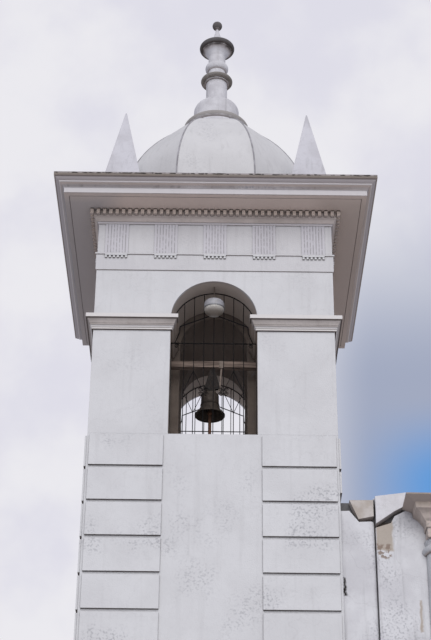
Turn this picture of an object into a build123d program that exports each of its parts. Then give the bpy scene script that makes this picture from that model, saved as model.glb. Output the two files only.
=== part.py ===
"""Church bell tower with a stub of its damaged front wall, built piece by piece from the ground up.

The tower stands on the Z axis of its own frame with its front towards -Y. At the end every piece is
shifted sideways so that the origin lies under the middle of the whole part. Lengths are millimetres.
"""
from build123d import *
import math
import os

# Tower body and belfry openings
tower_width = 4500
pier_width = 1440
rebate = 160
inner_pier_width = 480
floor_thickness = 250

# Heights of the stages, each one above the last
sill_level = 15670
jamb_height = 2155
impost_height = 285
arch_cover = 230
architrave_height = 345
taenia_height = 30
frieze_height = 675
bed_mould_height = 150
dentil_height = 120

# Entablature
entablature_thickness = 600
architrave_proud = 20
taenia_proud = 40
dentil_band_proud = 100
dentil_proud = 170
dentil_width = 64
dentils_per_side = 40

# Cornice
corona_proud = 653
corona_height = 130
cyma_height = 165
cornice_edge_proud = 846
cornice_edge_height = 73
drip_inset = 95
drip_size = 10

# Raised panels at the corners of the lower tower
quoin_proud = 43
quoin_inset = 43
quoin_width = 1322
quoin_pitch = 672
quoin_joint = 60
quoin_top_height = 600
quoin_margin = 40
base_course_height = 858

# Fluted panels and the drops below them
panels_per_side = 5
panel_margin = 135
panel_width = 450
panel_proud = 14
flutes = 7
flute_width = 26
flute_depth = 8
regula_width = 425
regula_height = 32
regula_proud = 48
drops = 6
drop_height = 50
drop_width = 44
drop_taper = 6

# Dome and its drum
dome_radius = 1900
dome_curve_radius = 2950
dome_thickness = 180
drum_height = 827
drum_thickness = 250

# Turned finial: radii and heights from the bottom up
finial_ring_radius = 705
finial_ring_step = 45
finial_torus_radius = 715
finial_base_drop = 500
finial_base_height = 380
finial_drum_radius = 492
finial_drum_height = 610
finial_shoulder = 200
finial_shaft_radius = 232
finial_shaft_height = 610
finial_fillet = 40
finial_fillet_height = 30
finial_ring_reach = 350
finial_ring_height = 125
finial_neck_radius = 188
finial_neck_height = 640
finial_bulb_reach = 255
finial_bulb_height = 210
finial_cap_radius = 390
finial_cap_height = 360
finial_cap_round = 60
finial_cap_fillet = 15
finial_cone_height = 480
finial_cone_tip = 28
finial_ball_radius = 110
finial_ball_seat = 4

# Corner pinnacles
pinnacle_gap = 124
pinnacle_block = 838
pinnacle_block_height = 300
pinnacle_width = 820
pinnacle_height = 2092
pinnacle_tip = 24

# Iron grilles
grille_depth = 430
bar = 15
bar_margin = 249
bars_per_side = 7
grille_frame_gap = 0.5
tent_rise = 335
cross_rail_drop = 5

# Lamp hung from the front grille
lamp_radius = 195
lamp_centre_depth = 215
lamp_cap_height = 155
lamp_bowl_height = 150
lamp_hang = 305
lamp_rim_height = 12

# Bell, its beam and its clapper
beam_height = 125
beam_thickness = 130
beam_centre_depth = 850
beam_top_drop = 205
beam_end_gap = 0.5
bell_x = -60
hanger_x = -20
bell_radius = 284
bell_height = 465
bell_wall = 24
bell_lip = 18
bell_flare_height = 200
bell_waist_radius = 170
bell_shoulder_drop = 80
bell_shoulder_radius = 166
bell_crown_radius = 128
bell_drop = 545
hanger_width = 285
hanger_thickness = 64
hanger_neck = 68
hanger_foot = 120
clapper_rod_radius = 13
clapper_ball_radius = 45
clapper_ball_rise = 56
clapper_tail_radius = 30
clapper_tail_length = 640
pin_radius = 9
pin_clearance = 0.05
pin_drop = 34
eye_wall = 13
eye_side_gap = 4
lug_gap = 28
lug_thickness = 12
lug_width = 32

# Stub of the front wall
facade_setback = 100
facade_thickness = 800
facade_length = 2450
facade_joint_offset = 602
facade_joint_width = 18
facade_edge_round = 90
facade_core_setback = 170
facade_top = 14560
facade_left_drop = 90
column_offset = 1750
column_radius = 300
column_top = 13650
column_height = 5100
capital_height = 250
order_height = 655
order_reach = 360
pedestal_width = 800
pedestal_proud = 420
upper_pedestal_height = 1000

# Values that follow from the sizes above
half = tower_width / 2
opening_half = half - pier_width
inner_half = opening_half - rebate
inner_face = inner_half + inner_pier_width
arch_wall_height = opening_half + arch_cover
impost_level = sill_level + jamb_height
spring_level = impost_level + impost_height
architrave_level = spring_level + arch_wall_height
taenia_level = architrave_level + architrave_height
frieze_level = taenia_level + taenia_height
bed_level = frieze_level + frieze_height
dentil_level = bed_level + bed_mould_height
soffit_level = dentil_level + dentil_height
corona_top = soffit_level + corona_height
roof_level = corona_top + cyma_height + cornice_edge_height
dome_spring = roof_level + drum_height
dome_centre_offset = dome_curve_radius - dome_radius
dome_top = dome_spring + math.sqrt(dome_curve_radius**2 - dome_centre_offset**2)
tent_peak = spring_level + tent_rise
cross_rail_level = impost_level - bar - cross_rail_drop
panel_pitch = (tower_width - panel_width - 2 * panel_margin) / (panels_per_side - 1)
bar_pitch = 2 * (opening_half - bar_margin) / (bars_per_side - 1)
pinnacle_offset = (dome_radius + pinnacle_gap) / math.sqrt(2) + pinnacle_block / 2
column_x = half + column_offset
facade_end = half + facade_length
facade_joint = half + facade_joint_offset
tower_x = -(facade_end - half - cornice_edge_proud) / 2
sides = ("front", "right", "back", "left")


def block(x0, x1, y0, y1, z0, z1):
    """Rectangular block between two corners."""
    middle = Pos((x0 + x1) / 2, (y0 + y1) / 2, (z0 + z1) / 2)
    return middle * Box(x1 - x0, y1 - y0, z1 - z0)


def turned(shape, quarter):
    """Shape turned about the tower's axis by a number of quarter turns."""
    return Rot(0, 0, 90 * quarter) * shape


def outline(points):
    """Edges through points. A third number on a point bends the edge that reaches it by that sagitta."""
    edges = []
    for start, end in zip(points, points[1:] + points[:1]):
        a = (start[0], start[1])
        b = (end[0], end[1])
        if a == b:
            continue
        bend = end[2] if len(end) > 2 else 0
        edges.append(SagittaArc(a, b, bend) if bend else Line(a, b))
    return edges


def upright_face(points):
    """Face in the XZ plane from an outline of (x, z) points."""
    return Plane.XZ * make_face(outline(points))


def moulded_square(half_width, profile):
    """Square slab whose four edges follow a profile of (projection, height) points, with mitred corners."""
    first = profile[0]
    last = profile[-1]
    points = [(0, first[1])]
    points += [(half_width + point[0], *point[1:]) for point in profile]
    points += [(0, last[1])]
    side = upright_face(points)
    reach = half_width + max(point[0] for point in profile) + 50
    length = extrude(side + mirror(side, about=Plane.YZ), amount=reach, both=True)
    return length & turned(length, 1)


def turned_piece(points):
    """Solid of revolution about the Z axis from (radius, height) points."""
    return revolve(upright_face(points), axis=Axis.Z)


def extruded_wall(points, y0, y1):
    """Slab with an outline of (x, z) points that reaches from y0 to y1."""
    slab = extrude(upright_face(points), amount=y1 - y0, dir=(0, 1, 0))
    return Pos(0, y0, 0) * slab


def facade_bite():
    """Space that the stub of the front wall takes where it meets the tower, with all that is in front of it."""
    back = -half + facade_setback + facade_thickness
    return block(half, facade_end, -half - quoin_proud, back, 0, facade_top)


def base_course():
    """Plain course round the foot of the walls, which stops where the front wall begins."""
    reach = half + quoin_proud
    outer = block(-reach, reach, -reach, reach, 0, base_course_height)
    return outer - block(-half, half, -half, half, 0, base_course_height) - facade_bite()


def shaft_walls():
    """Four walls of the lower tower, the front and back ones running through at the corners."""
    front = block(-half, half, -half, -inner_face, 0, sill_level)
    right = block(inner_face, half, -inner_face, inner_face, 0, sill_level)
    return {"front_wall": front, "right_wall": right, "back_wall": turned(front, 2), "left_wall": turned(right, 2)}


def quoins():
    """Raised panels of one face: two columns of them, with joints between the courses."""
    top = sill_level - quoin_margin
    upper = top - quoin_top_height
    lower = base_course_height + quoin_joint
    courses = [(upper, top)]
    while upper - quoin_joint - lower > quoin_pitch / 3:
        head = upper - quoin_joint
        upper = max(head - (quoin_pitch - quoin_joint), lower)
        if upper - lower < quoin_pitch / 3:
            upper = lower
        courses.append((upper, head))
    outer = half - quoin_inset
    face = (-half - quoin_proud, -half)
    panels = []
    for z0, z1 in courses:
        panels.append(block(-outer, quoin_width - outer, *face, z0, z1))
        panels.append(block(outer - quoin_width, outer, *face, z0, z1))
    return panels


def quoins_on(quarter):
    """Raised panels of the face at a quarter turn. On the right they end against the front wall."""
    panels = [turned(panel, quarter) for panel in quoins()]
    if sides[quarter] != "right":
        return panels
    return [panel - facade_bite() for panel in panels]


def pier():
    """Corner pier of the belfry at the front left."""
    shaft = block(-half, -opening_half, -half, -opening_half, sill_level, impost_level)
    return shaft - inner_pier()


def inner_pier():
    """Inner corner of the front left pier, which stands forward into both openings and carries the vault."""
    return block(-inner_face, -inner_half, -inner_face, -inner_half, sill_level, spring_level)


def impost():
    """Moulded course on the front left pier, returned into both openings."""
    height = impost_height
    profile = [
        (32, 0),
        (32, 0.12 * height),
        (60, 0.26 * height, 6),
        (66, 0.26 * height),
        (66, 0.38 * height),
        (72, 0.38 * height),
        (126, 0.71 * height, 10),
        (141, 0.71 * height),
        (141, height),
    ]
    centre = -(half + opening_half) / 2
    course = moulded_square((half - opening_half) / 2, profile)
    inner = block(-inner_face, 0, -inner_face, 0, impost_level, spring_level)
    return Pos(centre, centre, impost_level) * course - inner


def arch_walls():
    """Walls over the four openings, each with its round arch."""
    barrel = Pos(0, 0, spring_level) * Rot(90, 0, 0) * Cylinder(opening_half, 2 * tower_width)
    front = block(-half, half, -half, -inner_face, spring_level, architrave_level) - barrel
    right = block(inner_face, half, -inner_face, inner_face, spring_level, architrave_level) - turned(barrel, 1)
    return {"arch_front": front, "arch_right": right, "arch_back": turned(front, 2), "arch_left": turned(right, 2)}


def crossing_vault():
    """Cross vault over the middle of the belfry, with the narrower inner arches at its four ends."""
    barrel = Pos(0, 0, spring_level) * Rot(90, 0, 0) * Cylinder(inner_half, 2 * tower_width)
    mass = block(-inner_face, inner_face, -inner_face, inner_face, spring_level, architrave_level)
    return mass - barrel - turned(barrel, 1)


def ring(half_width, profile, level):
    """Moulded square ring at a level, as thick as the entablature."""
    inner = tower_width / 2 - entablature_thickness
    top = profile[-1][1]
    return Pos(0, 0, level) * (moulded_square(half_width, profile) - block(-inner, inner, -inner, inner, 0, top))


def architrave():
    """Plain architrave with the narrow taenia on top."""
    profile = [
        (architrave_proud, 0),
        (architrave_proud, architrave_height),
        (taenia_proud, architrave_height),
        (taenia_proud, architrave_height + taenia_height),
    ]
    return ring(half, profile, architrave_level)


def frieze():
    """Plain frieze behind the fluted panels."""
    return ring(half, [(0, 0), (0, frieze_height)], frieze_level)


def bed_mould():
    """Fillet, hollow and ovolo below the dentils, with the flat band that the dentils stand on."""
    profile = [
        (25, 0),
        (25, 0.27 * bed_mould_height),
        (45, 0.27 * bed_mould_height),
        (dentil_band_proud, 0.85 * bed_mould_height, 14),
        (dentil_band_proud, bed_mould_height + dentil_height),
    ]
    return ring(half, profile, bed_level)


def dentils():
    """Row of small blocks under the cornice. The four corner blocks belong to two rows."""
    reach = half + dentil_proud
    last = reach - dentil_width / 2
    pitch = 2 * last / (dentils_per_side - 1)
    row = []
    for index in range(dentils_per_side - 1):
        middle = last - index * pitch
        back = -half - dentil_band_proud
        tooth = block(middle - dentil_width / 2, middle + dentil_width / 2, -reach, back, dentil_level, soffit_level)
        row.append(tooth)
    corner = half + dentil_band_proud
    row[0] = block(last - dentil_width / 2, reach, -reach, -last + dentil_width / 2, dentil_level, soffit_level)
    row[0] -= block(0, corner, -corner, 0, dentil_level, soffit_level)
    return [turned(tooth, quarter) for quarter in range(4) for tooth in row]


def regulae():
    """Short strips under the taenia, each with its row of drops."""
    strips = []
    drop_pitch = (regula_width - drop_width) / (drops - 1)
    drop_depth = regula_proud - architrave_proud
    for index in range(panels_per_side):
        x = (index - (panels_per_side - 1) / 2) * panel_pitch
        low = taenia_level - regula_height
        strip = block(x - regula_width / 2, x + regula_width / 2, -half - regula_proud, -half - architrave_proud,
                      low, taenia_level)
        drop = extrude(Rectangle(drop_width, drop_depth), amount=drop_height, taper=drop_taper)
        for number in range(drops):
            centre = x + (number - (drops - 1) / 2) * drop_pitch
            strip += Pos(centre, -half - architrave_proud - drop_depth / 2, low - drop_height) * drop
        strips.append(strip)
    return strips


def frieze_panels():
    """Fluted panels of one face of the frieze."""
    flute_pitch = panel_width / (flutes + 1)
    front = -half - panel_proud
    points = [(-panel_width / 2, -half), (-panel_width / 2, front)]
    for number in range(flutes):
        centre = (number - (flutes - 1) / 2) * flute_pitch
        points.append((centre - flute_width / 2, front))
        points.append((centre, front + flute_depth))
        points.append((centre + flute_width / 2, front))
    points += [(panel_width / 2, front), (panel_width / 2, -half)]
    plate = extrude(make_face(outline(points)), amount=frieze_height, dir=(0, 0, 1))
    places = [(index - (panels_per_side - 1) / 2) * panel_pitch for index in range(panels_per_side)]
    return [Pos(x, 0, frieze_level) * plate for x in places]


def cornice():
    """Roof slab with the moulded cornice on its edges and a drip groove in the soffit."""
    mould_top = corona_height + cyma_height
    fillet = (corona_proud + cornice_edge_proud) / 2
    profile = [
        (corona_proud, 0),
        (corona_proud, corona_height),
        (corona_proud + 12, corona_height),
        (fillet - 14, corona_height + 0.45 * cyma_height, 12),
        (fillet, corona_height + 0.45 * cyma_height),
        (fillet, corona_height + 0.6 * cyma_height),
        (cornice_edge_proud - 16, mould_top, -12),
        (cornice_edge_proud, mould_top),
        (cornice_edge_proud, mould_top + cornice_edge_height),
    ]
    slab = moulded_square(half, profile)
    outer = half + corona_proud - drip_inset
    inner = outer - drip_size
    groove = block(-outer, outer, -outer, outer, 0, drip_size) - block(-inner, inner, -inner, inner, 0, drip_size)
    return Pos(0, 0, soffit_level) * (slab - groove)


def octagon(apothem):
    """Regular octagon with flats towards the four sides of the tower."""
    return Rot(0, 0, 22.5) * RegularPolygon(apothem, 8, major_radius=False)


def dome_drum():
    """Eight-sided wall that carries the dome."""
    wall = extrude(octagon(dome_radius) - octagon(dome_radius - drum_thickness), amount=drum_height)
    return Pos(0, 0, roof_level) * wall


def dome_body(inset):
    """Eight-sided pointed dome: what four crossing vaults have in common, the inset inside the outer face."""
    radius = dome_radius - inset
    curve = dome_curve_radius - inset
    peak = math.sqrt(curve**2 - dome_centre_offset**2)
    bulge = curve - math.sqrt(curve**2 - (radius**2 + peak**2) / 4)
    vault = extrude(upright_face([(-radius, 0), (radius, 0), (0, peak, -bulge), (-radius, 0, -bulge)]),
                    amount=2 * radius, both=True)
    body = vault
    for number in range(1, 4):
        body = body & (Rot(0, 0, 45 * number) * vault)
    return body


def dome():
    """Shell of the dome."""
    shell = dome_body(0) - dome_body(dome_thickness)
    return Pos(0, 0, dome_spring) * shell


def finial():
    """Turned finial on the dome, one piece on top of the other."""
    level = dome_top - finial_base_drop
    height = finial_base_height
    torus_height = 0.42 * height
    base = turned_piece([
        (0, level),
        (finial_ring_radius, level),
        (finial_ring_radius, level + 0.46 * height),
        (finial_ring_radius - finial_ring_step, level + 0.46 * height),
        (finial_ring_radius - finial_ring_step, level + height - torus_height),
        (finial_torus_radius - torus_height / 2, level + height - torus_height),
        (finial_torus_radius - torus_height / 2, level + height, -0.49 * torus_height),
        (0, level + height),
    ])
    dome_mass = Pos(0, 0, dome_spring) * dome_body(0)
    base -= dome_mass
    drum_level = level + height
    shoulder_level = drum_level + finial_drum_height - finial_shoulder
    shaft_level = drum_level + finial_drum_height
    drum = turned_piece([
        (0, drum_level),
        (finial_drum_radius, drum_level),
        (finial_drum_radius, shoulder_level),
        (finial_drum_radius - finial_shoulder, shaft_level, -0.29 * finial_shoulder),
        (0, shaft_level),
    ])
    drum -= dome_mass
    ring_level = shaft_level + finial_shaft_height
    ring_top = ring_level + finial_ring_height
    ring_bulge = 0.48 * (finial_ring_height - finial_fillet_height)
    shaft = turned_piece([
        (0, shaft_level),
        (finial_shaft_radius, shaft_level),
        (finial_shaft_radius, ring_level),
        (finial_shaft_radius + finial_fillet, ring_level),
        (finial_shaft_radius + finial_fillet, ring_level + finial_fillet_height),
        (finial_ring_reach - ring_bulge, ring_level + finial_fillet_height),
        (finial_ring_reach - ring_bulge, ring_top, -ring_bulge),
        (0, ring_top),
    ])
    neck_top = ring_top + finial_neck_height
    bulb_level = ring_top + (finial_neck_height - finial_bulb_height) / 2
    bulb_top = bulb_level + finial_bulb_height
    neck = turned_piece([
        (0, ring_top),
        (finial_neck_radius, ring_top),
        (finial_neck_radius, bulb_level),
        (finial_neck_radius, bulb_top, finial_neck_radius - finial_bulb_reach),
        (finial_neck_radius, neck_top),
        (0, neck_top),
    ])
    rim_level = neck_top + 0.56 * finial_cap_height
    rim_top = neck_top + 0.92 * finial_cap_height
    cap_top = neck_top + finial_cap_height
    cap_edge = finial_cap_radius - finial_cap_round
    cap = turned_piece([
        (0, neck_top),
        (finial_neck_radius, neck_top),
        (cap_edge - finial_cap_fillet, neck_top + 0.5 * finial_cap_height, 26),
        (cap_edge, neck_top + 0.5 * finial_cap_height),
        (cap_edge, rim_level),
        (cap_edge, rim_top, -finial_cap_round),
        (finial_neck_radius, cap_top, -8),
        (finial_cone_tip, cap_top + finial_cone_height, 20),
        (0, cap_top + finial_cone_height),
    ])
    ball_foot = cap_top + finial_cone_height
    ball_level = ball_foot + finial_ball_radius - finial_ball_seat
    reach = 2 * finial_ball_radius
    ball = Pos(0, 0, ball_level) * Sphere(finial_ball_radius)
    ball -= block(-reach, reach, -reach, reach, ball_level - reach, ball_foot)
    return {
        "finial_base": base,
        "finial_drum": drum,
        "finial_shaft": shaft,
        "finial_neck": neck,
        "finial_cap": cap,
        "finial_ball": ball,
    }


def pinnacles():
    """Four slender pyramids on low blocks at the corners of the roof."""
    foot = extrude(Rectangle(pinnacle_block, pinnacle_block), amount=pinnacle_block_height)
    slope = math.degrees(math.atan((pinnacle_width - pinnacle_tip) / 2 / pinnacle_height))
    spire = extrude(Rectangle(pinnacle_width, pinnacle_width), amount=pinnacle_height, taper=slope)
    piece = Pos(-pinnacle_offset, -pinnacle_offset, roof_level) * (foot + Pos(0, 0, pinnacle_block_height) * spire)
    return [turned(piece, quarter) for quarter in range(4)]


def strip(a, b, width):
    """Flat bar between two points of a sketch."""
    length = math.dist(a, b)
    angle = math.degrees(math.atan2(b[1] - a[1], b[0] - a[0]))
    return Pos((a[0] + b[0]) / 2, (a[1] + b[1]) / 2) * Rot(0, 0, angle) * Rectangle(length + width / 2, width)


def grille_frame():
    """Frame of the front grille: posts, rails, a round head and a bar bent like a tent."""
    outer = opening_half - grille_frame_gap
    bottom = sill_level + grille_frame_gap
    spring = spring_level + grille_frame_gap
    waist = (inner_half + 2, spring_level - 75)
    foot = (inner_half + 84, cross_rail_level + bar / 2)
    shoulder = (inner_half - 8, spring_level + 62)
    head = Pos(0, spring) * (Circle(outer) - Circle(outer - bar))
    head &= Pos(0, spring + outer / 2) * Rectangle(2 * outer, outer)
    sketch = head
    for side in (-1, 1):
        post = side * (outer - bar / 2)
        sketch += strip((post, bottom + bar / 4), (post, cross_rail_level), bar)
        for a, b in (((0, tent_peak), shoulder), (shoulder, waist), (waist, foot)):
            sketch += strip((side * a[0], a[1]), (side * b[0], b[1]), bar)
    for level in (bottom + bar / 2, cross_rail_level):
        sketch += strip((-outer + bar / 2, level), (outer - bar / 2, level), bar)
    return Pos(0, -half + grille_depth, 0) * extrude(Plane.XZ * sketch, amount=bar, dir=(0, 1, 0))


def grille_bars():
    """Upright bars of the front grille, fixed to the outside of its frame."""
    outer = opening_half - grille_frame_gap
    bottom = sill_level + grille_frame_gap
    depth = -half + grille_depth
    bars = []
    for number in range(bars_per_side):
        x = (number - (bars_per_side - 1) / 2) * bar_pitch
        head = spring_level + math.sqrt((outer - bar / 2) ** 2 - x ** 2)
        top = head if abs(x) > bar else tent_peak
        bars.append(block(x - bar / 2, x + bar / 2, depth - bar, depth, bottom, top))
    return bars


def lamp():
    """Round lamp with a metal cap and a glass bowl, on a bent arm from the head of the front grille."""
    arm_top = spring_level + opening_half - grille_frame_gap
    cap_top = arm_top - bar - lamp_hang
    rim = cap_top - lamp_cap_height
    cap = turned_piece([
        (0, cap_top),
        (0.74 * lamp_radius, cap_top),
        (0.97 * lamp_radius, cap_top - 0.35 * lamp_cap_height, 0.06 * lamp_cap_height),
        (lamp_radius, rim + lamp_rim_height),
        (lamp_radius, rim),
        (0, rim),
    ])
    bowl = turned_piece([
        (0, rim),
        (0.96 * lamp_radius, rim),
        (0.62 * lamp_radius, rim - 0.8 * lamp_bowl_height, 0.16 * lamp_bowl_height),
        (0.1 * lamp_radius, rim - lamp_bowl_height, 0.05 * lamp_bowl_height),
        (0, rim - lamp_bowl_height),
    ])
    reach = grille_depth - lamp_centre_depth
    arm = block(-bar / 2, bar / 2, -bar / 2, bar / 2, cap_top, arm_top)
    arm += block(-bar / 2, bar / 2, bar / 2, reach, arm_top - bar, arm_top)
    place = Pos(0, -half + lamp_centre_depth, 0)
    return {"lamp_cap": place * cap, "lamp_bowl": place * bowl, "lamp_arm": place * arm}


def bell_group():
    """Beam across the front opening, with the bell, its hanger and its clapper."""
    y = -half + beam_centre_depth
    beam_top = impost_level - beam_top_drop
    beam_low = beam_top - beam_height
    reach = opening_half - beam_end_gap
    beam = block(-reach, reach, y - beam_thickness / 2, y + beam_thickness / 2, beam_low, beam_top)

    crown = beam_low - bell_drop
    mouth = crown - bell_height
    flare = mouth + bell_flare_height
    shoulder = crown - bell_shoulder_drop
    outer = [
        (0, crown),
        (bell_crown_radius, crown),
        (bell_shoulder_radius, shoulder, 14),
        (bell_waist_radius, flare),
        (bell_radius, mouth + bell_lip, -14),
        (bell_radius, mouth),
    ]
    inner = [
        (bell_radius - bell_wall, mouth),
        (bell_waist_radius - bell_wall, flare, 16),
        (bell_shoulder_radius - bell_wall, shoulder),
        (bell_crown_radius - bell_wall, crown - bell_wall, -10),
        (0, crown - bell_wall),
    ]
    bell = turned_piece(outer + inner)
    pivot = crown - bell_wall - pin_drop
    lug_inside = lug_gap / 2
    lug = block(-lug_width / 2, lug_width / 2, lug_inside, lug_inside + lug_thickness,
                pivot - lug_width / 2, crown - bell_wall + 4)
    pin_length = lug_gap + 2 * lug_thickness
    pin = Pos(0, 0, pivot) * Rot(90, 0, 0) * Cylinder(pin_radius, pin_length)
    bell = bell + lug + mirror(lug, about=Plane.XZ) + pin

    foot = bell_x - hanger_x
    plate = extruded_wall([
        (-hanger_neck / 2, beam_low),
        (hanger_neck / 2, beam_low),
        (hanger_width / 2, crown + 150),
        (hanger_width / 2, crown + 105),
        (foot + hanger_foot / 2, crown + 80),
        (foot + hanger_foot / 2, crown),
        (foot - hanger_foot / 2, crown),
        (foot - hanger_foot / 2, crown + 80),
        (-hanger_width / 2, crown + 105),
        (-hanger_width / 2, crown + 150),
    ], -hanger_thickness / 2, hanger_thickness / 2)
    hole = Pos(foot, 0, crown + 42) * Rot(90, 0, 0) * Cylinder(17, 2 * hanger_thickness)
    spread = 0.3 * hanger_foot
    hanger = plate - Pos(-spread, 0, 0) * hole - Pos(spread, 0, 0) * hole

    ball_level = mouth + clapper_ball_rise
    eye = Pos(0, 0, pivot) * Rot(90, 0, 0) * Cylinder(pin_radius + eye_wall, lug_gap - 2 * eye_side_gap)
    rod_length = pivot - pin_radius - eye_wall / 2 - ball_level
    rod = Pos(0, 0, ball_level + rod_length / 2) * Cylinder(clapper_rod_radius, rod_length)
    knob = Pos(0, 0, ball_level) * Sphere(clapper_ball_radius)
    tail = Pos(0, 0, ball_level - clapper_tail_length / 2) * Cylinder(clapper_tail_radius, clapper_tail_length)
    clapper = eye + rod + knob + tail
    clapper -= Pos(0, 0, pivot) * Rot(90, 0, 0) * Cylinder(pin_radius + pin_clearance, pin_length)

    place = Pos(bell_x, y, 0)
    return {
        "bell_beam": beam,
        "bell_hanger": Pos(hanger_x, y, 0) * hanger,
        "bell": place * bell,
        "clapper": place * clapper,
    }


def facade():
    """Stub of the church's front wall at the tower's right, with its broken top and half column."""
    start = half
    front = -half + facade_setback
    back = front + facade_thickness
    core = front + facade_core_setback
    joint_left = facade_joint - facade_joint_width / 2
    joint_right = facade_joint + facade_joint_width / 2
    top = facade_top
    left = extruded_wall([
        (start, 0),
        (joint_left, 0),
        (joint_left, top - 630),
        (joint_left - 3, top - 510),
        (joint_left - 270, top - 525),
        (joint_left - 433, top - 315),
        (start, top - 320),
    ], front, core)
    rounded = left.edges().filter_by(Axis.Z).group_by(Axis.X)[-1].sort_by(Axis.Y)[0]
    left = fillet(rounded, facade_edge_round)
    left += block(start, facade_joint, core, back, 0, top - facade_left_drop)
    right = extruded_wall([
        (joint_right, 0),
        (facade_end, 0),
        (facade_end, top),
        (joint_right + 579, top),
        (joint_right + 539, top - 300),
        (joint_right + 339, top - 410),
        (joint_right + 269, top - 540),
        (joint_right, top - 630),
    ], front, core)
    right += block(facade_joint, facade_end, core, back, 0, top)
    left_block = extruded_wall([
        (joint_left - 425, top - 114),
        (joint_left - 8, top - 108),
        (joint_left - 8, top - 418),
        (joint_left - 276, top - 476),
    ], front - 12, core)
    right_block = extruded_wall([
        (joint_right + 9, top - 560),
        (joint_right + 9, top - 38),
        (joint_right + 556, top + 40),
        (joint_right + 502, top - 233),
        (joint_right + 337, top - 324),
    ], front - 25, core)

    nodes = {
        "facade_wall_left": left,
        "facade_wall_right": right,
        "facade_block_left": left_block,
        "facade_block_right": right_block,
    }
    tops = {"upper": column_top, "lower": column_top - column_height - upper_pedestal_height - order_height}
    for tier, top in tops.items():
        foot = top - column_height
        low = foot - upper_pedestal_height if tier == "upper" else 0
        nodes[f"{tier}_column"] = Pos(column_x, front, foot) * half_column()
        nodes[f"{tier}_entablature"] = Pos(column_x, front, top) * column_entablature()
        side = pedestal_width / 2
        nodes[f"{tier}_pedestal"] = block(column_x - side, column_x + side, front - pedestal_proud, front, low, foot)
    return nodes


def half_column():
    """Half column with its base and capital, standing at the height 0 against a wall behind it."""
    radius = column_radius
    height = column_height
    neck = height - capital_height
    profile = upright_face([
        (0, 0),
        (1.3 * radius, 0),
        (1.3 * radius, 150),
        (1.12 * radius, 150),
        (1.12 * radius, 290, -70),
        (1.05 * radius, 290),
        (1.05 * radius, 330),
        (radius, 330),
        (0.94 * radius, neck),
        (1.02 * radius, neck),
        (1.02 * radius, height - 110, -48),
        (0.96 * radius, height - 110),
        (1.03 * radius, height),
        (0, height),
    ])
    return revolve(profile, axis=Axis.Z, revolution_arc=-180)


def column_entablature():
    """Block of entablature over a column, mitred at its free corners, standing at the height 0."""
    steps = [
        (-0.07, 0),
        (-0.07, 0.27),
        (-0.02, 0.27),
        (0, 0.43),
        (0.13, 0.52),
        (0.49, 0.7, 14),
        (0.54, 0.86),
        (1, 0.96),
        (1, 1),
    ]
    profile = [(step[0] * order_reach, step[1] * order_height, *step[2:]) for step in steps]
    behind = 2 * (column_radius + order_reach)
    whole = moulded_square(column_radius, profile)
    return whole - block(-behind, behind, 0, behind, 0, order_height)


def all_round(pieces):
    """Pieces of the front face repeated on all four faces."""
    return [turned(piece, quarter) for quarter in range(4) for piece in pieces]


nodes = {}
nodes["base_course"] = base_course()
nodes.update(shaft_walls())
nodes["quoins"] = [panel for quarter in range(4) for panel in quoins_on(quarter)]
for quarter, side_name in enumerate(sides):
    nodes[f"grille_{side_name}"] = turned(grille_frame(), quarter)
nodes["grille_bars"] = all_round(grille_bars())
nodes["belfry_floor"] = block(-inner_face, inner_face, -inner_face, inner_face, sill_level - floor_thickness, sill_level)
nodes["corner_piers"] = all_round([pier()])
nodes["inner_piers"] = all_round([inner_pier()])
nodes["imposts"] = all_round([impost()])
nodes.update(arch_walls())
nodes["crossing_vault"] = crossing_vault()
nodes["architrave"] = architrave()
nodes["regulae"] = all_round(regulae())
nodes["frieze"] = frieze()
nodes["frieze_panels"] = all_round(frieze_panels())
nodes["bed_mould"] = bed_mould()
nodes["dentils"] = dentils()
nodes["cornice"] = cornice()
nodes["dome_drum"] = dome_drum()
nodes["dome"] = dome()
nodes.update(finial())
nodes["pinnacles"] = pinnacles()
nodes.update(lamp())
nodes.update(bell_group())
nodes.update(facade())

os.makedirs("parts", exist_ok=True)
for name, shape in nodes.items():
    solids = shape if isinstance(shape, list) else [shape]
    solids = [Pos(tower_x, 0, 0) * solid for solid in solids]
    node = Compound(label=name, children=solids) if len(solids) > 1 else solids[0]
    node.label = name
    export_step(node, f"parts/{name}.step")
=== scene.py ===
"""Looks of the church bell tower: its finishes, small fittings, ground, light and camera."""

import logging
import math
from collections.abc import Sequence
from dataclasses import dataclass, replace
from enum import Enum

import bmesh
import bpy
import numpy as np
from mathutils import Matrix, Vector


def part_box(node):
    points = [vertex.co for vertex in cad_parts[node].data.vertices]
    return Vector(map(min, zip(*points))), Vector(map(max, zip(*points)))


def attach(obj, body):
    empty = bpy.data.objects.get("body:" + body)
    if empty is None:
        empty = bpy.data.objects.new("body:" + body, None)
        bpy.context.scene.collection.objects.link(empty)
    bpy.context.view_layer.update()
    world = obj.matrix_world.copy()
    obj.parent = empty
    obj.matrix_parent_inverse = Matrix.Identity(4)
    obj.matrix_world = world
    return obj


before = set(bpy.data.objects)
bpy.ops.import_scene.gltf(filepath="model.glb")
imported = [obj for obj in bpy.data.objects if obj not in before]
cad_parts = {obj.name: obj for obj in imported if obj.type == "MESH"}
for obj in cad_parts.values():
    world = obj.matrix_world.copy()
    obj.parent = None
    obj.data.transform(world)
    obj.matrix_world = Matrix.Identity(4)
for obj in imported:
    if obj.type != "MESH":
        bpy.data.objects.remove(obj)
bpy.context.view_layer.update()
log = logging.getLogger("bell_tower")

Socket = bpy.types.NodeSocket
Tree = bpy.types.NodeTree
Point = tuple[float, float, float]
Span = tuple[float, float]
TOWER = "tower"
SIDES = ("front", "right", "back", "left")


class Turn(Enum):
    """Quarter turns from the front face to each face of the tower."""

    FRONT = 0
    RIGHT = 1
    BACK = 2
    LEFT = 3


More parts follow.
